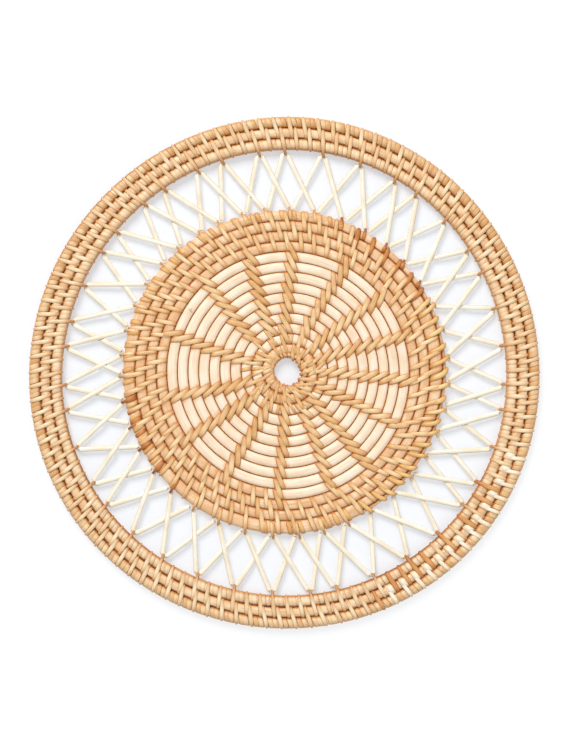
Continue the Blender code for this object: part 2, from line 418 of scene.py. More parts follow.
class Grid:
    """Adds nodes to a tree and joins them, so that a finish reads as one line a node."""

    def __init__(self, tree: Tree) -> None:
        """Starts on a tree."""
        self.tree = tree

    def fill(self, node: bpy.types.Node, values: Inputs) -> None:
        """Links outputs to a node's inputs, or sets plain values on them.

        Args:
            node: Whose inputs are filled.
            values: Outputs and values by the inputs' names or numbers.
        """
        for place, value in values.items():
            if isinstance(value, bpy.types.NodeSocket):
                self.tree.links.new(value, node.inputs[place])
            else:
                node.inputs[place].default_value = value

    def node(self, kind: str, values: Inputs, **settings: object) -> bpy.types.NodeOutputs:
        """Adds a node.

        Args:
            kind: Its type name, without what all of them start with.
            values: For its inputs, by their names or numbers.
            settings: Attributes to set on it first.

        Returns:
            Its outputs.
        """
        made = self.tree.nodes.new(f"ShaderNode{kind}")
        for name, value in settings.items():
            setattr(made, name, value)
        self.fill(made, values)
        return made.outputs

    def maths(self, operation: str, *values: object, clamp: bool = False) -> Socket:
        """A Math node on one to three values."""
        inputs = dict(enumerate(values))
        return self.node("Math", inputs, operation=operation, use_clamp=clamp)[0]

    def times(self, first: object, second: object) -> Socket:
        """One value times another."""
        return self.maths("MULTIPLY", first, second)

    def ramp(self, value: object, low: object, high: object) -> Socket:
        """0 below low, 1 above high, and a smooth rise between."""
        inputs = {"Value": value, "From Min": low, "From Max": high}
        return self.node("MapRange", inputs, interpolation_type="SMOOTHSTEP")["Result"]

    def mix(self, share: object, first: object, second: object) -> Socket:
        """A mix of two colours."""
        return self.node("Mix", {0: share, 6: first, 7: second}, data_type="RGBA")[2]

    def noise(self, vector: object, scale: float, detail: float, rough: float) -> Socket:
        """The value of a noise pattern."""
        return self.node("TexNoise", {"Vector": vector, "Scale": scale, "Detail": detail,
                                      "Roughness": rough})["Fac"]

    def vector(self, x: object, y: object, z: object) -> Socket:
        """A vector of three values."""
        return self.node("CombineXYZ", {0: x, 1: y, 2: z})[0]

    def parts(self, vector: object) -> bpy.types.NodeOutputs:
        """The x, the y and the z of a vector."""
        return self.node("SeparateXYZ", {0: vector})

    def read(self, label: str, output: str = "Fac") -> Socket:
        """What the mesh carries at its points under a label."""
        return self.node("Attribute", {}, attribute_name=label)[output]

    def place(self) -> Socket:
        """Where a point lies in the object's own frame."""
        return self.node("TexCoord", {})["Object"]

    def distance(self, place: object, point: tuple[float, ...]) -> Socket:
        """How far a place lies from a point."""
        return self.node("VectorMath", {0: place, 1: point}, operation="DISTANCE")["Value"]


def new_group(name: str, vector: str, numbers: tuple[str, ...], results: tuple[str, ...],
              ) -> tuple[Grid, bpy.types.NodeOutputs, bpy.types.Node]:
    """A shader node group with named sockets.

    Args:
        name: The group's name.
        vector: Name of its vector input.
        numbers: Names of its number inputs.
        results: Names of its number outputs.

    Returns:
        A Grid on it, what comes in, and the node that takes the results.
    """
    tree = bpy.data.node_groups.new(name, "ShaderNodeTree")
    tree.interface.new_socket(vector, in_out="INPUT", socket_type="NodeSocketVector")
    for labels, way in ((numbers, "INPUT"), (results, "OUTPUT")):
        for label in labels:
            tree.interface.new_socket(label, in_out=way, socket_type="NodeSocketFloat")
    return Grid(tree), tree.nodes.new("NodeGroupInput").outputs, tree.nodes.new("NodeGroupOutput")


NUMBER_STRIDE = 37.7  # moves one strip's pattern away from the next one's
PORE_SCALES = (3.0, 2.5)
PATCH_SCALES = (60.0, 120.0)
OPEN_LIGHT = 0.85  # how far an open edge is freed from a valley's shade


def fibre_group() -> Tree:
    """Long fibres and pores that follow a strip, and a tone of the strip's own.

    The pattern is read along the cane slowly and across it quickly, and each strip's
    number moves it to a fresh place.

    Returns:
        The group.
    """
    grid, given, wanted = new_group(
        "cane_fibres", "Cane", ("Across Scale", "Along Scale"),
        ("Fibre", "Pores", "Tone", "Patch"))
    length, breadth, number = grid.parts(given["Cane"])
    along = grid.times(length, given["Along Scale"])
    across = grid.times(breadth, given["Across Scale"])
    seed = grid.times(number, NUMBER_STRIDE)
    fine, wide = (grid.vector(grid.times(first, one), grid.times(second, two), seed)
                  for first, second, (one, two) in ((along, across, PORE_SCALES),
                                                    (length, breadth, PATCH_SCALES)))
    grid.fill(wanted, {
        "Fibre": grid.noise(grid.vector(along, across, seed), 1.0, 3.0, 0.55),
        "Pores": grid.ramp(grid.noise(fine, 1.0, 2.0, 0.6), 0.56, 0.72),
        "Tone": number,
        "Patch": grid.noise(wide, 1.0, 2.0, 0.5),
    })
    return grid.tree


def valley_group() -> Tree:
    """How deep a place lies, for the painted valley shade: 0 on the crests, 1 between them, and
    little at open edges.

    Returns:
        The group.
    """
    grid, given, wanted = new_group(
        "valley_shade", "Place", ("Open", "Valley", "Crest"), ("Depth",))
    middle = grid.maths("SUBTRACT", grid.parts(given["Place"])[2], MID_HEIGHT)
    raised = grid.ramp(grid.maths("ABSOLUTE", middle), given["Valley"], given["Crest"])
    closed = grid.maths("MULTIPLY_ADD", given["Open"], -OPEN_LIGHT, 1.0)
    grid.fill(wanted, {"Depth": grid.times(grid.maths("SUBTRACT", 1.0, raised), closed)})
    return grid.tree


def edge_group() -> Tree:
    """A thin line along both edges of a strip, 1 at the edge and 0 inside, for the painted shade
    there.

    Returns:
        The group.
    """
    grid, given, wanted = new_group("strip_edges", "Cane", ("Half Width", "Line"), ("Edge",))
    away = grid.maths("ABSOLUTE", grid.parts(given["Cane"])[1])
    start = grid.maths("SUBTRACT", given["Half Width"], given["Line"])
    grid.fill(wanted, {"Edge": grid.ramp(away, start, given["Half Width"])})
    return grid.tree


@dataclass(frozen=True)
class Groups:
    """The shared shader node groups, built once."""

    fibres: Tree
    valleys: Tree
    edges: Tree

    @classmethod
    def build(cls) -> Groups:
        """Builds all of them."""
        return cls(fibre_group(), valley_group(), edge_group())


# Two old water marks: angle, radius and reach.
STAINS = ((329.8, 0.1006, 0.0030), (303.0, 0.0838, 0.0042))
STAIN_COLOUR = (108, 110, 88)


@dataclass(frozen=True)
class CaneFinish:
    """The colours, the painted shade and the gloss of one kind of cane."""

    name: str
    pale: Screen  # colour of the lightest strips and fibres
    body: Screen  # the usual colour
    warm: Screen = (210, 145, 82)  # colour of the painted shade half way down the valleys and at strip ends, of ripe patches and of fibres
    deep: Screen = (150, 87, 40)  # colour of the painted shade down in the valleys and along strip edges, and of pores
    fibre_across: float = 2600.0  # in a metre
    fibre_along: float = 90.0  # changes in a metre
    fibre_share: float = 0.30  # how strongly the fibres darken
    tone_share: float = 0.8  # how far strips differ from each other
    patch_share: float = 0.35  # how strongly pale patches show along a strip
    warm_share: float = 0.35  # how strongly ripe patches show
    edge_shade: float = 0.30  # how dark the painted shade along the strip's edges is
    half_width: float = 0.0018  # half the strip's width, where its painted edge shade lies
    valley: float = 0.0016  # distance from mid height where the painted valley shade is full
    crest: float = 0.0041  # distance from mid height where that painted shade has gone
    roughness: float = 0.42  # of the polished skin
    coat: float = 0.12  # weight of the thin natural gloss
    bump: float = 0.00008  # height of the fibres in metres
    stain: float = 0.0  # how far old water marks show, 0 for none

    def marks(self, grid: Grid, place: Socket) -> list[tuple[Socket, Screen]]:
        """The old water marks, if this finish shows any.

        Args:
            grid: Of the material.
            place: Where a point lies.

        Returns:
            The share and the colour of each.
        """
        if self.stain <= 0.0:
            return []
        ragged = grid.noise(place, 900.0, 2.0, 0.6)
        marks = []
        for degrees, radius, reach in STAINS:
            x, y, height = around(radius, degrees, MID_HEIGHT + 0.003)
            apart = grid.distance(place, (x, y, height))
            far = grid.maths("MULTIPLY_ADD", ragged, 3.0 * reach, apart)
            mark = grid.times(grid.ramp(far, 2.1 * reach, 1.4 * reach), self.stain)
            marks.append((mark, STAIN_COLOUR))
        return marks

    def material(self, groups: Groups) -> bpy.types.Material:
        """Builds the material, one colour laid over the other by its own share.

        Args:
            groups: The shared node groups.

        Returns:
            A Principled material with grain, tone, painted shade along the strip edges and painted
            shade in the valleys.
        """
        material = bpy.data.materials.new(self.name)
        material.use_nodes = True
        grid = Grid(material.node_tree)
        cane, place = grid.read("cane", "Vector"), grid.place()
        fibres = grid.node("Group", {"Cane": cane, "Across Scale": self.fibre_across,
                                     "Along Scale": self.fibre_along}, node_tree=groups.fibres)
        depth = grid.node("Group", {"Place": place, "Open": grid.read("open"),
                                    "Valley": self.valley, "Crest": self.crest},
                          node_tree=groups.valleys)["Depth"]
        edge = grid.node("Group", {"Cane": cane, "Half Width": self.half_width,
                                   "Line": 0.25 * self.half_width},
                         node_tree=groups.edges)["Edge"]

        tone = grid.maths("MULTIPLY", fibres["Tone"], self.tone_share, clamp=True)
        patch = grid.ramp(fibres["Patch"], 0.45, 0.7)
        tone = grid.maths("MULTIPLY_ADD", patch, self.patch_share, tone, clamp=True)
        browner = grid.times(grid.ramp(fibres["Patch"], 0.52, 0.34), self.warm_share)
        # Painted shade at the bottom of the valleys, made patchy by noise.
        uneven = grid.maths("MULTIPLY_ADD", grid.noise(place, 110.0, 2.0, 0.6), 2.6, -0.45)
        patchy_valley_shade = grid.maths("MULTIPLY", grid.ramp(depth, 0.4, 1.0), uneven, clamp=True)
        colour = linear(self.body)
        for share, layer in (
                (tone, self.pale),
                # Random ripe patches, and the painted shade at strip ends and beside stitches.
                (grid.maths("MAXIMUM", browner, grid.read("browner")), self.warm),
                (grid.times(grid.ramp(fibres["Fibre"], 0.46, 0.72), self.fibre_share), self.warm),
                (grid.times(fibres["Pores"], 0.4 * self.fibre_share), self.deep),
                # Painted shade along the strip's edges.
                (grid.times(edge, self.edge_shade), self.deep),
                # Painted shade: warm half way down the valleys, then deep and patchy at their
                # bottom.
                (grid.ramp(depth, 0.0, 0.6), self.warm),
                (patchy_valley_shade, self.deep),
                *self.marks(grid, place)):
            colour = grid.mix(share, colour, linear(layer))

        rough = grid.maths("MULTIPLY_ADD", fibres["Fibre"], 0.25, self.roughness - 0.1)
        bump = grid.node("Bump", {"Strength": 0.6, "Distance": self.bump,
                                  "Height": fibres["Fibre"]})
        grid.fill(material.node_tree.nodes["Principled BSDF"], {
            "Base Color": colour,
            "Roughness": grid.maths("MULTIPLY_ADD", depth, 0.2, rough, clamp=True),
            "Normal": bump["Normal"],
            "Coat Weight": self.coat,
            "Coat Roughness": 0.3,
            "Specular IOR Level": 0.35,
        })
        return material


RING_CORE = CaneFinish(
    "ring_core", (252, 229, 196), (241, 203, 158), (210, 150, 92), (148, 90, 46),
    fibre_across=1100.0, fibre_along=22.0, fibre_share=0.45, tone_share=0.0, patch_share=0.8,
    edge_shade=0.0, valley=0.0015, crest=0.0036, roughness=0.5, coat=0.05)
BARE_CORE = replace(
    RING_CORE, name="bare_core", pale=(252, 237, 216), body=(250, 229, 202),
    warm=(228, 174, 118), deep=(140, 82, 38), fibre_share=0.42, warm_share=0.2,
    valley=0.0011, crest=0.0028, bump=0.00006, stain=0.5)
BOUND_CORE = replace(
    RING_CORE, name="bound_core", pale=(250, 225, 192), body=(239, 198, 154),
    warm=(208, 146, 88), deep=(164, 98, 48), fibre_share=0.50, valley=0.0010, crest=0.0032,
    bump=0.00006, stain=0.8)
RIB_STITCH = CaneFinish("rib_stitches", (248, 218, 168), (229, 182, 121), (201, 128, 62))
DENSE_STITCH = CaneFinish("close_stitches", (252, 225, 178), (239, 194, 136), (204, 138, 74))
RIM_WRAP = CaneFinish("rim_wraps", (243, 201, 138), (226, 168, 100), warm_share=0.5)
RIM_DARK = CaneFinish("dark_stitches", (226, 156, 86), (198, 118, 52), (152, 80, 28),
                      (104, 50, 18), tone_share=0.6)
RIM_HONEY = CaneFinish("honey_loops", (249, 214, 150), (234, 186, 112), (208, 142, 66),
                       (160, 98, 40), roughness=0.36, coat=0.25)
RING_WRAP = CaneFinish("ring_wraps", (248, 221, 178), (222, 172, 112), (204, 142, 80),
                       (152, 92, 46), warm_share=0.5, crest=0.0039)
RING_INNER_WRAP = replace(RING_WRAP, name="ring_inner_wraps", pale=(252, 230, 195),
                          body=(234, 192, 140))
RING_STITCH = CaneFinish("ring_stitches", (252, 230, 192), (240, 204, 156), (206, 144, 82),
                         crest=0.0040)
RING_DARK = CaneFinish("ring_dark_stitches", (232, 176, 114), (216, 150, 88), (192, 118, 58),
                       (130, 70, 28))
RING_PALE = CaneFinish("ring_pale_stitches", (255, 246, 226), (253, 236, 208),
                       (232, 190, 134))
LACING = CaneFinish(
    "lacing_strips", (252, 247, 235), (248, 240, 221), (238, 212, 168), (206, 176, 128),
    fibre_across=1900.0, fibre_along=30.0, fibre_share=0.55, tone_share=0.2, patch_share=0.6,
    warm_share=0.3, edge_shade=0.45, valley=-0.002, crest=-0.001, roughness=0.45, coat=0.08)

# ---------------------------------------------------------------- pieces

LACED_RADIUS = 0.142  # between the disc and the ring
RING_EDGES = ((0.1668,), (0.1878,))  # from here on the ring's two edges lie open
DISC_EDGES = ((0.0122,), (0.1176,))  # and the disc's
EDGE_REACH = 0.0012


def openness(points: Floats) -> Floats:
    """How far each point lies at a free edge of the ring or the disc, where the painted valley
    shade is lifted.

    Args:
        points: Of a surface.

    Returns:
        From 0 well inside to 1 at an edge.
    """
    radius = np.hypot(points[:, 0] - MIDDLE[0], points[:, 1] - MIDDLE[1])
    inner, outer = np.where(radius > LACED_RADIUS, RING_EDGES, DISC_EDGES)
    return smooth_step(np.maximum(radius - outer, inner - radius) / EDGE_REACH)


def added(name: str, data: bpy.types.ID) -> bpy.types.Object:
    """Put a new object into the scene.

    Args:
        name: The object's name.
        data: What it holds, such as a mesh or a light.

    Returns:
        The object, linked to the scene.
    """
    made = bpy.data.objects.new(name, data)
    bpy.context.scene.collection.objects.link(made)
    return made


def placed(name: str, surface: Surface, material: bpy.types.Material,
           slot: Slot) -> bpy.types.Object:
    """Makes an object of a surface, smooth, riding on the mat, and reports it.

    Args:
        name: The piece's name.
        surface: Its points, faces and cane values.
        material: Its finish.
        slot: Not used.

    Returns:
        The object, at the origin.
    """
    mesh = bpy.data.meshes.new(name)
    mesh.from_pydata(surface.points.tolist(), [], surface.quads.tolist())
    mesh.attributes.new("cane", "FLOAT_VECTOR", "POINT").data.foreach_set(
        "vector", surface.cane.astype(np.float32).ravel())
    for label, values in (("browner", surface.browner), ("open", openness(surface.points))):
        mesh.attributes.new(label, "FLOAT", "POINT").data.foreach_set(
            "value", values.astype(np.float32))
    mesh.materials.append(material)
    mesh.shade_smooth()
    mesh.update()
    piece = added(name, mesh)
    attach(piece, "root")
    LOG.info("%s: %d faces", name, len(surface.quads))
    return piece


def bound(finish: CaneFinish, groups: Groups, *strips: Surface) -> None:
    """Places strips as one piece of binding, which has its finish's name."""
    placed(finish.name, joined(*strips), finish.material(groups), Slot.BOUND)


# ---------------------------------------------------------------- disc


@dataclass(frozen=True)
class Spiral:
    """The one cane of the disc, wound outwards and clockwise from the hole."""

    disc_radius: float = 0.1200  # to the rim
    hole_radius: float = 0.00944  # to the first turn
    pitch: float = 0.00773  # from one round to the next
    start_angle: float = 199.0  # where the cane starts
    whole_turns: int = 13  # turns before the last, which stops short
    last_share: float = 52.0 / 60.0  # the share of the last turn that it covers
    taper_turns: float = 0.347  # it is shaved down over this much of a turn
    tip_width: float = 0.0027  # width at its end
    hole_centre: Pair = (0.0023, 0.0006)  # the first turns lie a little off the middle
    last_centre: Pair = (0.0, -0.0008)  # so do the last ones
    thickness: float = 0.0077  # of the bare cane in the disc
    bound_from: float = 9.97  # turn from which the cane is bound closely

    @property
    def last_turn(self) -> float:
        """The turns at the cane's end."""
        return self.whole_turns + self.last_share

    @property
    def taper_start(self) -> float:
        """The turns where it begins to be shaved down."""
        return self.last_turn - self.taper_turns

    def angle(self, turns: Floats) -> Floats:
        """The angle that goes with a number of turns."""
        return self.start_angle + 360.0 * turns

    def even_radius(self, turns: Values) -> Values:
        """The hole's radius plus the pitch times the turns."""
        return self.hole_radius + self.pitch * turns

    def plain_edge(self, turns: Values) -> Floats:
        """Radius of the edge between two rounds, before the taper.

        It is the even radius plus how far the drifting centre lies towards that side.

        Args:
            turns: Where to read it.

        Returns:
            The radius at each.
        """
        turns = np.asarray(turns, dtype=float)
        share = np.clip(turns / (self.whole_turns + 1), 0.0, 1.0)
        side = np.radians(self.angle(turns))
        x, y = (first + (last - first) * share
                for first, last in zip(self.hole_centre, self.last_centre))
        return self.even_radius(np.maximum(turns, 0.0)) + x * np.sin(side) + y * np.cos(side)

    def edge(self, turns: Floats) -> Floats:
        """Radius of the edge with the taper; past the cane's end, of the rim.

        In the taper the last round's width falls with the square of what is left of it.

        Args:
            turns: Where to read it.

        Returns:
            The radius at each.
        """
        turns = np.asarray(turns, dtype=float)
        full = self.disc_radius - float(self.plain_edge(self.taper_start))
        left = 1.0 - (turns - self.taper_start) / self.taper_turns
        tapered = self.disc_radius - np.maximum(self.tip_width, full * left * left)
        radius = np.where(turns > self.taper_start, tapered, self.plain_edge(turns))
        return np.where(turns > self.last_turn, self.disc_radius, radius)


@dataclass(frozen=True)
class Ribs:
    """The fifteen lines of stitches across the bare turns."""

    first_angle: float = 210.0  # of the first rib where the bare turns end
    # From each rib to the next, in degrees.
    gaps: tuple[int, ...] = (26, 22, 31, 30, 24, 21, 26, 22, 21, 21, 21, 23, 20, 25, 27)
    drift: float = 0.0005  # how far each stitch lies behind the one outside it, in metres
    slant: float = 0.0076  # how far clockwise a stitch goes from its outer to its inner end
    slant_sway: float = 0.0009  # it is this much more at one side of the mat and less at the other
    most_slant_at: float = 320.0  # angle of that one side
    width: float = 0.0045
    first_turn: float = 0.45  # the first stitch lies at or after it

    def stitch_turns(self, spiral: Spiral) -> Floats:
        """Turns at the middle of every stitch on the ribs, up to the bound turns.

        A rib lies behind its angle where the bare turns end by the drift over the pitch,
        times the logarithm of the radius there over the stitch's own.

        Args:
            spiral: The cane that they cross.

        Returns:
            The turns, sorted.
        """
        angles = self.first_angle + np.concatenate([[0], np.cumsum(self.gaps)[:-1]])
        line = (angles - spiral.start_angle) % 360.0 / 360.0
        turns = (line[:, None] + np.arange(spiral.whole_turns)[None, :]).ravel()
        outwards = spiral.even_radius(spiral.bound_from) / spiral.even_radius(turns)
        back = np.degrees(self.drift / spiral.pitch) * np.maximum(0.0, np.log(outwards))
        turns = turns - back / 360.0
        last = spiral.bound_from + 1.0
        return np.sort(turns[(turns >= self.first_turn) & (turns < last)])

    def slants(self, spiral: Spiral, turns: Floats) -> Floats:
        """Slants of the stitches at these turns: the slant plus the sway times a cosine."""
        side = np.radians(spiral.angle(turns) - self.most_slant_at)
        return self.slant + self.slant_sway * np.cos(side)


@dataclass(frozen=True)
class Binding:
    """Long stitches of the disc, sorted by their turns."""

    turns: Floats  # of each stitch's middle
    slants: Floats  # in metres
    widths: Floats  # in metres

    @classmethod
    def of(cls, *rows: tuple[Floats, Floats, float]) -> Binding:
        """Joins rows of stitches.

        Args:
            rows: The turns, the slants and the one width of each.

        Returns:
            All of them, sorted.
        """
        turns, slants, widths = (
            np.concatenate([np.broadcast_to(row[part], row[0].shape) for row in rows])
            for part in range(3))
        order = np.argsort(turns)
        return cls(turns[order], slants[order], widths[order])


DISC_STRIP = 0.00075  # thickness of its binding
RIM_PROUD = 0.0002  # how far that reaches past the rim


@dataclass
class Disc:
    """The coiled disc: its cane, the ribs, the close stitches, the rim and the hole."""

    spiral: Spiral = field(default_factory=Spiral)
    ribs: Ribs = field(default_factory=Ribs)
    stout: float = 0.0009  # thickness of the ripe stitches
    clearance: float = 0.00005  # between cane and strips
    at_rim: float = 0.0003  # an edge this close to the rim lies on it
    stitches_a_turn: float = 58.45
    close_slant: float = 0.0038
    leaning_slant: float = 0.0044  # how much more they lean about one angle
    leaning_at: Pair = (106.0, 30.0)  # that angle and how far the lean reaches, in degrees
    close_width: float = 0.0036
    core_share: float = 1.03  # of the space between two edges
    core_start_inset: float = 0.0011  # of the first round, at the hole
    core_least: float = 0.0007  # least width
    core_full: float = 0.0058  # from this width on it has its full height
    core_low: float = 0.3  # least share of that height
    core_squareness: float = 0.2
    hole_turns: float = 1.0  # up to this turn the cane is bound too
    hole_start: float = -0.9  # the turn where the cane starts
    core_step: float = 0.0014  # from one section to the next
    crevice: float = 0.0018  # how far from a stitch's edge the painted shade on the core reaches
    crevice_start: float = 0.0004  # how far under the stitch that begins
    stitch_shade_share: float = 0.75  # how dark that painted shade is there
    crowded_to: float = 2.4  # up to this turn the stitches lie unevenly
    crossings: int = 13  # stitches that cross the others there
    crossing: Triple = (0.003, 0.012, 0.0028)  # their least and greatest slant, and their width
    crowded: Triple = (0.001, 0.0065, 0.0030)  # the same of the ribs' stitches there
    between: Triple = (-0.001, 0.005, 0.0028)  # and of the short wraps between them
    crossing_turns: Pair = (0.4, 2.3)  # the crossing stitches lie between these
    between_turns: Triple = (0.1, 2.3, 0.085)  # first, last and step of the wraps
    between_slip: float = 0.02  # standard deviation of their turns
    hole_count: int = 30  # wraps round the edge of the hole
    hole_slip: float = 1.6  # standard deviation of their angles
    hole_inset: float = 0.0013  # from the disc's inner edge to them
    hole_round: float = 0.0034  # least width of the round that they hold
    hole_sunk: float = 0.0002  # how far their middle lies below the others'
    hole_lower: float = 0.0004  # how much less high they stand above it
    hole_width: float = 0.0026
    # The rim's angles where the shaved end is caught by long loops.
    thin_span: Pair = (58.0, 151.0)
    # Those where the catching wraps are of ripe cane.
    ripe_spans: tuple[Pair, ...] = ((15.0, 58.0), (224.0, 266.0))
    dark_end: float = 13.615  # the last of the ripe stitches lies before this turn
    dark_lead: float = 0.4  # share of a step before the first of them
    honey_start: float = 13.625  # the first of the honey loops lies at this turn
    honey_shares: Pair = (0.35, 0.65)  # where the others lie between two caught folds
    # Slants and widths of the wraps at the rim.
    catch: Pair = (0.0016, 0.0030)
    ripe_catch: Pair = (0.0016, 0.0032)
    ripe_wrap: Pair = (0.0030, 0.0030)
    filler: Pair = (0.0022, 0.0034)
    dark_width: float = 0.0038
    honey_size: Triple = (0.0040, 0.0009, 0.0010)  # width, thickness and reach past the rim
    catching_size: Triple = (0.0036, 0.0009, 0.0026)  # the same of those that hold a fold
    # Angles of the wraps that fill the rim.
    filler_spans: tuple[Pair, ...] = ((152.0, 190.0), (236.0, 388.0))
    filler_step: float = 4.4  # from one of them to the next
    # Angles of single ripe wraps.
    dark_angles: tuple[float, ...] = (233.0, 237.0, 242.0, 247.0, 252.0, 256.0, 260.5)
    seed: int = 11

    def __post_init__(self) -> None:
        """Starts the seeded differences."""
        self.random = np.random.default_rng(self.seed)

    @property
    def half_height(self) -> float:
        """From mid height up to the strips' foot on a crest."""
        return self.spiral.thickness - MID_HEIGHT - self.clearance

    def crevices(self, turns: Floats, out: Floats, radius: Floats, binding: Binding) -> Floats:
        """How close each place on the cane lies to the edge of a stitch over it, 0 to 1, for the
        painted contact shade there.

        The outer half of a stitch whose middle is at the same turns crosses the cane
        from its inner edge outwards, and the inner half of one a turn further on
        crosses it from its outer edge inwards.

        Args:
            turns: Of the places.
            out: Their share of the way from the inner to the outer edge.
            radius: Their distance from the middle.
            binding: The stitches.

        Returns:
            1 at a stitch's edge, falling to 0 a little further on.
        """
        least = np.full(np.shape(turns), 1.0)
        for further, share in ((0.0, -out), (1.0, 1.0 - out)):
            right = np.searchsorted(binding.turns, turns + further)
            for place in (right - 1, right):
                place = np.clip(place, 0, len(binding.turns) - 1)
                along = (turns + further - binding.turns[place]) * 2.0 * np.pi * radius
                away = np.abs(along - 0.5 * binding.slants[place] * share)
                least = np.minimum(least, away - 0.5 * binding.widths[place])
        return 1.0 - smooth_step((least + self.crevice_start) / self.crevice)

    def core(self, first: float, last: float, binding: Binding) -> Surface:
        """The cane itself between two turns, an oval carried along the spiral.

        Its width is nearly the space between its two edges, and its height shrinks
        with the width where the cane is shaved thin. It has painted shade beside the stitches'
        edges.

        Args:
            first: The turn it starts at.
            last: The turn it ends at.
            binding: The stitches over it.

        Returns:
            The cane.
        """
        spiral = self.spiral
        start, end = spiral.even_radius(first), spiral.even_radius(last)
        steps = int((last - first) * np.pi * (start + end) / self.core_step)
        sizes = np.sqrt(np.linspace(start * start, end * end, steps))
        turns = (sizes - spiral.hole_radius) / spiral.pitch
        inner = spiral.edge(turns) + np.where(turns < 0.0, self.core_start_inset, 0.0)
        outer = spiral.edge(turns + 1.0)
        wide = np.maximum((outer - inner) * self.core_share, self.core_least)
        middle = np.where(turns > spiral.last_turn - 1.0, outer - 0.5 * wide,
                          0.5 * (inner + outer))
        height = 2.0 * (self.half_height - self.clearance) * np.clip(
            wide / self.core_full, self.core_low, 1.0)
        degrees = spiral.angle(turns)
        path = around(middle, degrees, MID_HEIGHT)[None]
        outwards = around(middle + 1.0, degrees, MID_HEIGHT)[None] - path
        section = round_section(self.core_squareness)
        out = 0.5 + np.array(section.across)[None, :]
        # Painted contact shade on the cane beside each stitch's edge.
        stitch_shade = self.crevices(turns[:, None], out, middle[:, None], binding)
        surface = carried(section, path, outwards, wide, height, np.zeros(1), False)
        return replace(surface, browner=self.stitch_shade_share * stitch_shade.ravel())

    def long_stitches(self, turns: Floats, slant: Values, width: float,
                      thickness: float = DISC_STRIP, proud: float = RIM_PROUD) -> Surface:
        """Stitches over two rounds, whose middles lie on the edge at these turns.

        Args:
            turns: The turns of each stitch's middle.
            slant: In metres, for a stitch of this kind.
            width: Of the strip.
            thickness: Of the strip, if it isn't the usual one.
            proud: How far they reach past the rim.

        Returns:
            The strips.
        """
        spiral = self.spiral
        middle, inner = spiral.edge(turns), spiral.edge(turns - 1.0)
        outer = spiral.edge(turns + 1.0)
        outer = np.where(outer > spiral.disc_radius - self.at_rim, outer + proud, outer)
        return DISC_STITCHES.strips(
            self.random, LONG, spiral.angle(turns),
            Rounds(outer, middle, inner, MID_HEIGHT, self.half_height), middle, slant, width,
            thickness)

    def rim_wraps(self, turns: Floats, slant: Values, width: float,
                  loop: Loop = SHORT) -> Surface:
        """Wraps round the outermost round only.

        Args:
            turns: Where, on that round's inner edge.
            slant: In metres, for a wrap of this kind.
            width: Of the strip.
            loop: The way round.

        Returns:
            The strips.
        """
        inner, outer = self.spiral.edge(turns), self.spiral.edge(turns + 1.0) + RIM_PROUD
        rounds = Rounds(outer, 0.5 * (inner + outer), inner, MID_HEIGHT, self.half_height)
        return DISC_WRAPS.strips(self.random, loop, self.spiral.angle(turns), rounds, outer,
                                 slant, width, DISC_STRIP)

    def hole_wraps(self) -> Surface:
        """Short wraps side by side round the edge of the hole.

        Returns:
            The strips.
        """
        angles = np.linspace(0.0, 360.0, self.hole_count, endpoint=False)
        angles = angles + self.random.normal(0.0, self.hole_slip, self.hole_count)
        turns = (angles - self.spiral.start_angle) % 360.0 / 360.0
        inner = self.spiral.edge(turns - 1.0) + self.hole_inset
        outer = np.maximum(self.spiral.edge(turns), inner + self.hole_round)
        rounds = Rounds(outer, 0.5 * (inner + outer), inner, MID_HEIGHT - self.hole_sunk,
                        self.half_height - self.hole_lower)
        return HOLE_WRAPS.strips(self.random, SHORT, angles, rounds, outer, 1.0,
                                 self.hole_width, DISC_STRIP)

    def close_slants(self, turns: Floats) -> Floats:
        """Slants of close stitches: more about one angle, by a bell curve.

        Args:
            turns: Places along the cane.

        Returns:
            How far each stitch leans there.
        """
        middle, reach = self.leaning_at
        away = wrapped(self.spiral.angle(turns) - middle)
        return self.close_slant + self.leaning_slant * np.exp(-(away / reach) ** 2)

    def turns_at(self, angles: Floats | tuple[float, ...]) -> Floats:
        """Turns of the outermost round's inner edge.

        Args:
            angles: At which to find it.

        Returns:
            The turns at each.
        """
        past = (np.asarray(angles) - self.spiral.start_angle) % 360.0 / 360.0
        on_last = past <= self.spiral.last_share
        return np.where(on_last, self.spiral.whole_turns, self.spiral.whole_turns - 1) + past

    def crowd(self, kind: Triple, lay: Callable[..., Surface], turns: Floats) -> Surface:
        """Strips near the hole, laid by long_stitches or rim_wraps."""
        least, most, width = kind
        return lay(turns, self.random.uniform(least, most, len(turns)), width)

    def build(self, groups: Groups, folds: Floats) -> None:
        """Builds and dresses every piece of the disc.

        Args:
            groups: The shared node groups.
            folds: Angles at which the rim catches a fold of the lacing.
        """
        spiral, ribs, random = self.spiral, self.ribs, self.random
        along_ribs = ribs.stitch_turns(spiral)
        near = along_ribs[along_ribs <= self.crowded_to]
        far = along_ribs[along_ribs > self.crowded_to]
        between = np.arange(*self.between_turns)
        between = between + random.normal(0.0, self.between_slip, len(between))
        across = np.sort(random.uniform(*self.crossing_turns, self.crossings))
        bound(RIB_STITCH, groups,
              self.long_stitches(far, ribs.slants(spiral, far), ribs.width),
              self.crowd(self.crossing, self.long_stitches, across),
              self.crowd(self.crowded, self.long_stitches, near),
              self.crowd(self.between, self.rim_wraps, between),
              self.hole_wraps())

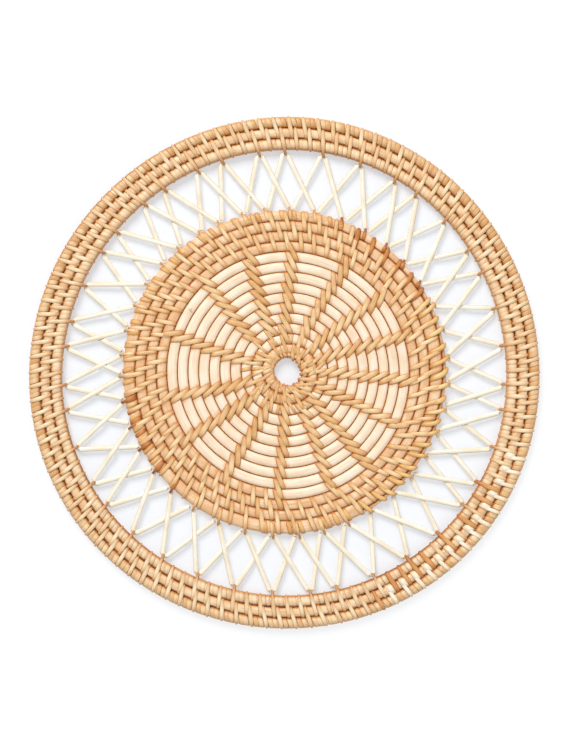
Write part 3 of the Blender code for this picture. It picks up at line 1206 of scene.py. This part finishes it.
        step = 1.0 / self.stitches_a_turn
        close = np.arange(spiral.bound_from + 1.0, spiral.taper_start, step)
        dark = np.arange(spiral.taper_start + self.dark_lead * step, self.dark_end, step)
        catches = self.turns_at(folds)
        angles = spiral.angle(catches) % 360.0
        thin, *browner = ((angles > low) & (angles < high)
                       for low, high in (self.thin_span, *self.ripe_spans))
        browner = np.any(browner, axis=0)
        caught = np.sort(catches[thin])
        caught = caught + 0.5 * self.close_slants(caught) / (2.0 * np.pi * spiral.disc_radius)
        share = random.uniform(*self.honey_shares, len(caught) - 1)
        honey = np.append(self.honey_start, caught[:-1] + share * np.diff(caught))
        binding = Binding.of((far, ribs.slants(spiral, far), ribs.width), *(
            (row, self.close_slants(row), self.close_width)
            for row in (close, dark, honey, caught)))
        bare = placed("disc_bare_cane", self.core(self.hole_turns, spiral.bound_from, binding),
                      BARE_CORE.material(groups), Slot.BARE)
        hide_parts("coiled_disc")
        placed("disc_bound_cane",
               joined(self.core(spiral.bound_from, spiral.last_turn, binding),
                      self.core(self.hole_start, self.hole_turns, binding)),
               BOUND_CORE.material(groups), Slot.BOUND)

        def long(turns: Floats, *sizes: float) -> Surface:
            """Long stitches with the slant that is usual at their turns."""
            return self.long_stitches(turns, self.close_slants(turns), *sizes)

        fillers = np.concatenate([np.arange(*span, self.filler_step)
                                  for span in self.filler_spans])
        bound(DENSE_STITCH, groups, long(close, self.close_width),
              self.rim_wraps(catches[~thin & ~browner], *self.catch, CATCH_OUT))
        bound(RIM_WRAP, groups, self.rim_wraps(self.turns_at(fillers), *self.filler))
        bound(RIM_DARK, groups, long(dark, self.dark_width, self.stout),
              self.rim_wraps(catches[browner], *self.ripe_catch, CATCH_OUT),
              self.rim_wraps(self.turns_at(self.dark_angles), *self.ripe_wrap))
        bound(RIM_HONEY, groups, long(honey, *self.honey_size),
              long(caught, *self.catching_size))


# ---------------------------------------------------------------- ring


@dataclass
class Ring:
    """Three rounds of cane bound side by side."""

    outer_radius: float = 0.190
    widths: Triple = (0.0090, 0.0081, 0.0081)  # of the rounds, from the inside outwards
    thickness: float = 0.0090  # from the table to the crests
    squareness: float = 0.04  # of a round's section
    clearance: float = 0.0001  # between cane and strips
    outer_room: float = 0.0003  # by which the outer round is narrower, for its strips
    outer_inset: float = 0.0002  # from the ring's outside to those
    # How it is out of round: count, swell and angle of the first.
    lobes: tuple[tuple[int, float, float], ...] = (
        (1, 0.0010, 165.0), (2, 0.0004, 25.0), (3, 0.0009, 13.0))
    stitches: int = 108  # long stitches between two rounds
    slant: float = 0.0036  # how far clockwise a long stitch goes on its way in
    strip_width: float = 0.0034  # of the binding
    dark_wider: float = 1.2  # how much wider the ripe stitches are between the inner two rounds
    strip_thickness: float = 0.0008  # of the binding where it stands proud
    # Sway of the outer and the inner stitches' slants: mean, swing, waves and shift.
    outer_sway: tuple[float, ...] = (0.9, 0.25, 4.0, 10.0)
    inner_sway: tuple[float, ...] = (0.7, 0.32, 1.0, 285.0)
    # Share of a step by which the outer stitches are ahead of the inner ones.
    outer_lead: float = 0.46
    lead_sway: float = 0.16  # how much that changes, twice round the ring
    lead_shift: float = 40.0  # by how many degrees that comes early
    catch_reach: float = 0.25  # share of a step within which a stitch catches a fold
    wrap_thickness: float = 0.0003  # of the short wraps, which are pressed flat
    # How far a pair of them lies to both sides, for the outside and the inside.
    wrap_slip: Pair = (0.0017, 0.0016)
    wrap_slants: Pair = (0.0022, 0.0020)  # their slants, likewise
    wrap_widths: Pair = (0.0039, 0.0037)  # their widths, likewise
    # The darkest and the palest tone of each of the pair, likewise. On the outside the second of a
    # pair is darker: painted shade on that side of the bound patch.
    wrap_tones: tuple[tuple[Pair, Pair], ...] = (
        ((0.5, 1.0), (0.0, 0.6)), ((0.6, 1.0), (0.6, 1.0)))
    wrap_lead: float = 0.26  # share of the slant by which a pair is moved
    pale_span: Pair = (110.0, 155.0)  # between these angles the outer stitches are of paler cane
    # Slip, slant, width and thickness of the short wraps beside those.
    pale_wrap: tuple[float, ...] = (-0.0004, 0.0008, 0.0060, 0.0007)
    pale_tones: Pair = (0.6, 1.0)  # the darkest and the palest tone of these wraps
    # Angles of the ripe stitches between the outer two rounds.
    dark_outside: tuple[float, ...] = (157.0,)
    # Angles of those between the inner two.
    dark_inside: tuple[float, ...] = (118.5, 122.0, 128.5, 136.0, 143.5, 146.5, 150.0, 152.5)
    tone_sway: float = 0.22  # how much paler its strips are on one side than half way round
    palest_at: float = 195.0
    steps: int = 240
    seed: int = 5

    def __post_init__(self) -> None:
        """Starts the seeded differences."""
        self.random = np.random.default_rng(self.seed)

    @property
    def inner_radius(self) -> float:
        """To the inside of the inner round."""
        return self.outer_radius - sum(self.widths)

    @property
    def half_height(self) -> float:
        """From mid height up to the strips' foot on a crest."""
        return self.thickness - self.strip_thickness - self.mid_height - self.clearance

    @property
    def mid_height(self) -> float:
        """Height of the rounds' middles."""
        return 0.5 * self.thickness

    def swell(self, degrees: Floats) -> Floats:
        """How far the ring stands outside its true circle: a sum of cosines of whole lobes."""
        return sum(size * np.cos(np.radians(count * (degrees - first)))
                   for count, size, first in self.lobes)

    def edges(self) -> Floats:
        """Radii of the rounds' edges from the inside outwards."""
        return self.inner_radius + np.concatenate([[0.0], np.cumsum(self.widths)])

    def cores(self) -> Surface:
        """Three closed ovals, each carried once round, that leave room for the strips.

        Returns:
            The three.
        """
        edges = self.edges()
        degrees = np.linspace(0.0, 360.0, self.steps, endpoint=False)[None, :]
        room = np.array([self.strip_thickness, 0.0, self.outer_room])
        inset = 0.5 * np.array([1.0, 0.0, -1.0]) * room
        middle = (0.5 * (edges[:-1] + edges[1:]) + inset)[:, None] + self.swell(degrees)
        path = around(middle, degrees, self.mid_height)
        outwards = around(middle + 1.0, degrees, self.mid_height) - path
        wide = (np.diff(edges) - room)[:, None]
        return carried(round_section(self.squareness), path, outwards, wide,
                       2.0 * self.half_height, np.zeros(3), True)

    def strips(self, loop: Loop, angles: Floats, radii: Triple, slant: float, width: float,
               thickness: float, tones: Pair = (0.0, 1.0)) -> Surface:
        """The strips of a row, whose slants sway by the mean plus the swing times a cosine.

        Args:
            loop: The way round.
            angles: Of the strips' middles.
            radii: Of the outer edge, the middle and the inner edge on the true circle.
            slant: In metres.
            width: Of a strip.
            thickness: Of a strip.
            tones: The darkest and the palest strip's tone, from 0 to 1.

        Returns:
            The strips.
        """
        outside = radii[1] > self.edges()[1]
        mean, swing, waves, shift = self.outer_sway if outside else self.inner_sway
        slant = slant * (mean + swing * np.cos(np.radians(waves * angles - shift)))
        paler = self.tone_sway * np.cos(np.radians(angles - self.palest_at))
        rounds = Rounds(*(radius + self.swell(angles) for radius in radii), self.mid_height,
                        self.half_height)
        return RING_STRIPS.strips(self.random, loop, angles, rounds, radii[1], slant, width,
                                  thickness, tones, paler)

    def pairs(self, side: int, angles: Floats, outer: float, inner: float) -> list[Surface]:
        """Pairs of short wraps round one round, half way between its stitches.

        Args:
            side: 0 for the ring's outside, 1 for its inside.
            angles: Of the stitches.
            outer: Radius of the round's outer edge.
            inner: Radius of its inner edge.

        Returns:
            The first wraps of all pairs, and the second ones.
        """
        middle = 0.5 * (outer + inner)
        lead = (-1.0, 1.0)[side] * self.wrap_lead * self.slant
        halfway = angles + 0.5 * 360.0 / self.stitches
        return [
            self.strips(SHORT, halfway + np.degrees((lead + slip) / middle),
                        (outer, middle, inner), self.wrap_slants[side], self.wrap_widths[side],
                        self.wrap_thickness, tones)
            for slip, tones in zip((-self.wrap_slip[side], self.wrap_slip[side]),
                                   self.wrap_tones[side])]

    def build(self, groups: Groups, folds: Floats) -> None:
        """Builds and dresses the cores, the wraps and the long stitches.

        Args:
            groups: The shared node groups.
            folds: Angles at which a stitch catches a fold of the lacing.
        """
        core = placed("ring_cores", self.cores(), RING_CORE.material(groups), Slot.BOUND)
        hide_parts("coiled_ring")
        edges = self.edges()
        foot, top = edges[0] + self.strip_thickness, edges[3] - self.outer_inset
        step = 360.0 / self.stitches
        start = step * np.arange(self.stitches)
        sway = np.sin(np.radians(2.0 * start + self.lead_shift))
        inner_angles = start - np.degrees(0.5 * self.slant / edges[1])
        outer_angles = inner_angles + self.outer_lead * step + self.lead_sway * step * sway
        bound(RING_WRAP, groups, *self.pairs(0, outer_angles, top, edges[2]))
        bound(RING_INNER_WRAP, groups, *self.pairs(1, inner_angles, edges[1], foot))

        caught = np.min(np.abs(wrapped(start[:, None] - folds[None, :])), axis=1)
        caught = caught < self.catch_reach * step
        dark_out = nearest(outer_angles, self.dark_outside)
        dark_in = nearest(inner_angles, self.dark_inside)
        low, high = self.pale_span
        pale = ~dark_out & (outer_angles > low) & (outer_angles < high)
        outside, inside = (top, edges[2], edges[1]), (edges[2], edges[1], foot)
        sizes = self.slant, self.strip_width, self.strip_thickness
        for finish, out, within, wider in (
                (RING_STITCH, ~dark_out & ~pale, ~dark_in, 1.0),
                (RING_DARK, dark_out, dark_in, self.dark_wider)):
            wide = self.slant, self.strip_width * wider, self.strip_thickness
            bound(finish, groups, self.strips(LONG, outer_angles[out], outside, *sizes),
                  self.strips(LONG, inner_angles[within & ~caught], inside, *wide),
                  self.strips(CATCH_IN, inner_angles[within & caught], inside, *wide))
        slip, *pale_sizes = self.pale_wrap
        middle = 0.5 * (edges[1] + edges[2])
        pales = outer_angles[pale]
        bound(RING_PALE, groups, self.strips(LONG, pales, outside, *sizes),
              self.strips(SHORT, pales + np.degrees(slip / middle),
                          (edges[2], middle, edges[1]), *pale_sizes, self.pale_tones))


# ---------------------------------------------------------------- lacing


@dataclass(frozen=True)
class Lacing:
    """Two zigzag strips between ring and disc."""

    ring: Ring
    disc_radius: float = 0.1200
    height: float = 0.00385  # of the strips' middle, half the disc's bare thickness
    # Ring stitches from each fold to the next.
    fold_steps: tuple[int, ...] = (
        3, 3, 3, 2, 3, 3, 2, 3, 3, 3, 2, 3, 3, 2, 3, 3, 3, 3, 2, 3,
        3, 3, 3, 3, 3, 2, 3, 3, 2, 3, 2, 3, 3, 2, 3, 2, 3, 2, 3, 2)
    width: float = 0.0036
    thickness: float = 0.0009
    fold_half: float = 0.0014  # half the short stretch in which it turns back
    fold_lead: float = 1.2  # degrees that the disc's folds lie ahead
    # How much closer to the coils the fold's middle line lies than it would flat.
    fold_depth: float = 0.0006
    tip_reach: float = 0.0005  # how far the fold's tip goes beyond its two corners
    fold_narrowing: float = 0.25  # how much narrower a strip is where it stands on its edge
    fold_end: float = 0.034  # share of the way to the next fold after which it lies flat
    fold_roll: float = 0.8  # how far it has turned on its edge at the fold's corners, as a share
    crossing_gap: float = 0.0003  # between the strips where they cross
    crossing_spare: float = 0.0003  # added to that gap for their rounded edges
    crossing_share: float = 0.34  # share of the way that a hump takes up
    seat_gap: float = 0.00045  # from the coils to the fold's edge

    def ring_folds(self) -> Floats:
        """Angles of the folds at the ring, each caught by a stitch there."""
        step = 360.0 / sum(self.fold_steps)
        return step * np.concatenate([[0], np.cumsum(self.fold_steps)[:-1]])

    def disc_folds(self) -> Floats:
        """Angles of the folds at the disc.

        Returns:
            Each the mean of three at the ring, a little ahead.
        """
        ring = self.ring_folds()
        before = np.concatenate([[ring[-1] - 360.0], ring[:-1]])
        after = np.concatenate([ring[1:], [360.0]])
        return (before + ring + after) / 3.0 + self.fold_lead

    def strip(self, first: int, number: float) -> Surface:
        """One strip, closed round the mat.

        Its middle line goes from fold to fold straight, with a smooth hump up or down
        where it crosses the other strip. It lies flat on its way and stands on its edge
        where it turns back.

        Args:
            first: The number of its first fold at the ring.
            number: What its finish reads.

        Returns:
            The strip.
        """
        count = len(self.fold_steps)
        order = (first + np.arange(count)) % count
        inwards = np.arange(count) % 2 == 0
        way = np.where(inwards, 1.0, -1.0)
        angles = np.where(inwards, self.ring_folds()[order], self.disc_folds()[order])
        seat = self.seat_gap + 0.5 * self.width
        coils = np.where(inwards, self.ring.inner_radius + self.ring.swell(angles),
                         self.disc_radius)
        radii = coils - way * seat + way * self.fold_depth
        half = np.degrees(self.fold_half / radii)
        arrive, leave = (around(radii, angles + side * half, self.height) for side in (-1, 1))
        following = np.roll(arrive, -1, axis=0)

        end = self.fold_end
        share = np.concatenate([[0.0, 0.011, 0.022, end, 0.15], np.linspace(0.3, 0.7, 9),
                                [0.85, 1.0 - end, 0.978, 0.989, 1.0]])
        legs = leave[:, None, :] + share[None, :, None] * (following - leave)[:, None, :]
        hump = np.cos(np.pi * np.clip((share - 0.5) / self.crossing_share, -0.5, 0.5)) ** 2
        lift = 0.5 * (self.thickness + self.crossing_gap + self.crossing_spare)
        legs[:, :, 2] += (way * lift)[:, None] * hump[None, :]
        tip = around(radii + way * self.tip_reach, angles, self.height)[:, None, :]
        path = np.concatenate([tip, legs], axis=1).reshape(1, -1, 3)
        flat = smooth_step(np.minimum(share, 1.0 - share) / end)
        roll = 0.5 * np.pi * np.concatenate([[1.0], (1.0 - flat) * self.fold_roll])
        roll = np.tile(roll, count)[None, :]
        ahead = unit(np.roll(path, -1, axis=1) - np.roll(path, 1, axis=1))
        level = unit(np.cross(UP, ahead))
        side = np.sin(roll)[..., None] * UP - np.cos(roll)[..., None] * level
        wide = self.width * (1.0 - self.fold_narrowing * np.sin(roll) ** 2)
        return carried(FLAT_CANE, path, side, wide, self.thickness, np.array([number]), True)

    def build(self, groups: Groups) -> None:
        """Builds and dresses both strips.

        Args:
            groups: The shared node groups.
        """
        material = LACING.material(groups)
        for letter, first, number in (("a", 0, 0.3), ("b", 1, 0.7)):
            piece = placed(f"lacing_{letter}", self.strip(first, number), material, Slot.LACING)
            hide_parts(f"lacing_strip_{letter}")


# ---------------------------------------------------------------- studio


@dataclass(frozen=True)
class SoftLight:
    """A square soft light that faces the mat."""

    name: str
    place: Triple
    size: float  # length of a side
    power: float
    colour: Triple

    def hang(self) -> None:
        """Adds it to the scene, turned until it faces the table's middle."""
        data = bpy.data.lights.new(self.name, "AREA")
        data.shape = "SQUARE"
        data.size = self.size
        data.energy = self.power
        data.color = self.colour
        light = added(self.name, data)
        light.location = self.place
        x, y, z = self.place
        light.rotation_euler = (0.0, math.atan2(math.hypot(x, y), z), math.atan2(y, x))


@dataclass(frozen=True)
class Studio:
    """Camera, soft light and a plain pale floor."""

    lens_mm: float = 85.0  # focal length
    sensor_mm: float = 36.0  # longer side of the sensor
    view_height: float = 0.5495  # that the picture shows, at the mat's top
    aim: Pair = (0.00060, 0.00140)  # from the disc's middle to what the camera looks at
    mat_top: float = 0.0085  # height of the mat's top
    lights: tuple[SoftLight, ...] = (
        SoftLight("key", (-1.1, 2.7, 3.1), 2.0, 144.0, (1.0, 0.985, 0.96)),
        SoftLight("fill", (1.3, -0.9, 2.0), 1.8, 9.0, (0.96, 0.98, 1.0)))
    sky: Triple = (0.95, 0.97, 1.0)  # colour of the light from all round
    sky_strength: float = 0.50  # its strength
    floor_reach: float = 6.0  # from the middle to the floor's sides
    floor_depth: float = 0.0004  # how far it lies under the mat
    inside_to: Pair = (0.168, 0.205)  # radii between which the floor changes under the ring
    # What it reflects inside the ring and outside.
    floor_colours: tuple[Triple, Triple] = ((0.47, 0.485, 0.515), (0.15, 0.153, 0.16))
    # What it gives off there: a painted glow, far stronger outside the ring, that lightens the
    # mat's shadow.
    floor_glows: tuple[Triple, Triple] = ((0.430, 0.437, 0.450), (0.845, 0.85, 0.855))

    def camera(self) -> None:
        """Hangs the camera straight above the mat, looking down, top of the picture to +Y."""
        data = bpy.data.cameras.new("camera")
        data.lens = self.lens_mm
        data.sensor_width = self.sensor_mm
        data.sensor_fit = "AUTO"
        camera = added("camera", data)
        away = self.view_height * self.lens_mm / self.sensor_mm
        camera.location = (*(MIDDLE + self.aim), self.mat_top + away)
        bpy.context.scene.camera = camera

    def floor(self) -> None:
        """A wide pale floor, just under the mat, with a painted glow that is strongest round the
        mat and lightens its shadow there.
        """
        material = bpy.data.materials.new("pale_floor")
        material.use_nodes = True
        grid = Grid(material.node_tree)
        share = grid.ramp(grid.distance(grid.place(), (*MIDDLE, 0.0)), *self.inside_to)
        colour, glow = (grid.mix(share, (*inside, 1.0), (*outside, 1.0))
                        for inside, outside in (self.floor_colours, self.floor_glows))
        grid.fill(material.node_tree.nodes["Principled BSDF"], {
            "Base Color": colour, "Emission Color": glow, "Emission Strength": 1.0,
            "Roughness": 0.9, "Specular IOR Level": 0.1})
        mesh = bpy.data.meshes.new("floor")
        corners = [(x * self.floor_reach, y * self.floor_reach, -self.floor_depth)
                   for x, y in ((-1, -1), (1, -1), (1, 1), (-1, 1))]
        mesh.from_pydata(corners, [], [(0, 1, 2, 3)])
        mesh.materials.append(material)
        floor = added("floor", mesh)

    def build(self) -> None:
        """Sets up the light and the floor."""
        world = bpy.data.worlds.new("studio")
        world.use_nodes = True
        background = world.node_tree.nodes["Background"]
        background.inputs["Color"].default_value = (*self.sky, 1.0)
        background.inputs["Strength"].default_value = self.sky_strength
        bpy.context.scene.world = world
        for light in self.lights:
            light.hang()
        bpy.context.scene.view_settings.view_transform = "Standard"
        self.floor()


def main() -> None:
    """Builds the camera, the mat and the studio in order."""
    logging.basicConfig(level=logging.INFO, format="%(name)s: %(message)s")
    studio = Studio()
    studio.camera()
    groups = Groups.build()
    ring = Ring()
    lacing = Lacing(ring)
    Disc().build(groups, lacing.disc_folds())
    ring.build(groups, lacing.ring_folds())
    lacing.build(groups)
    studio.build()
    LOG.info("sizes written")


if __name__ == "__main__":
    main()
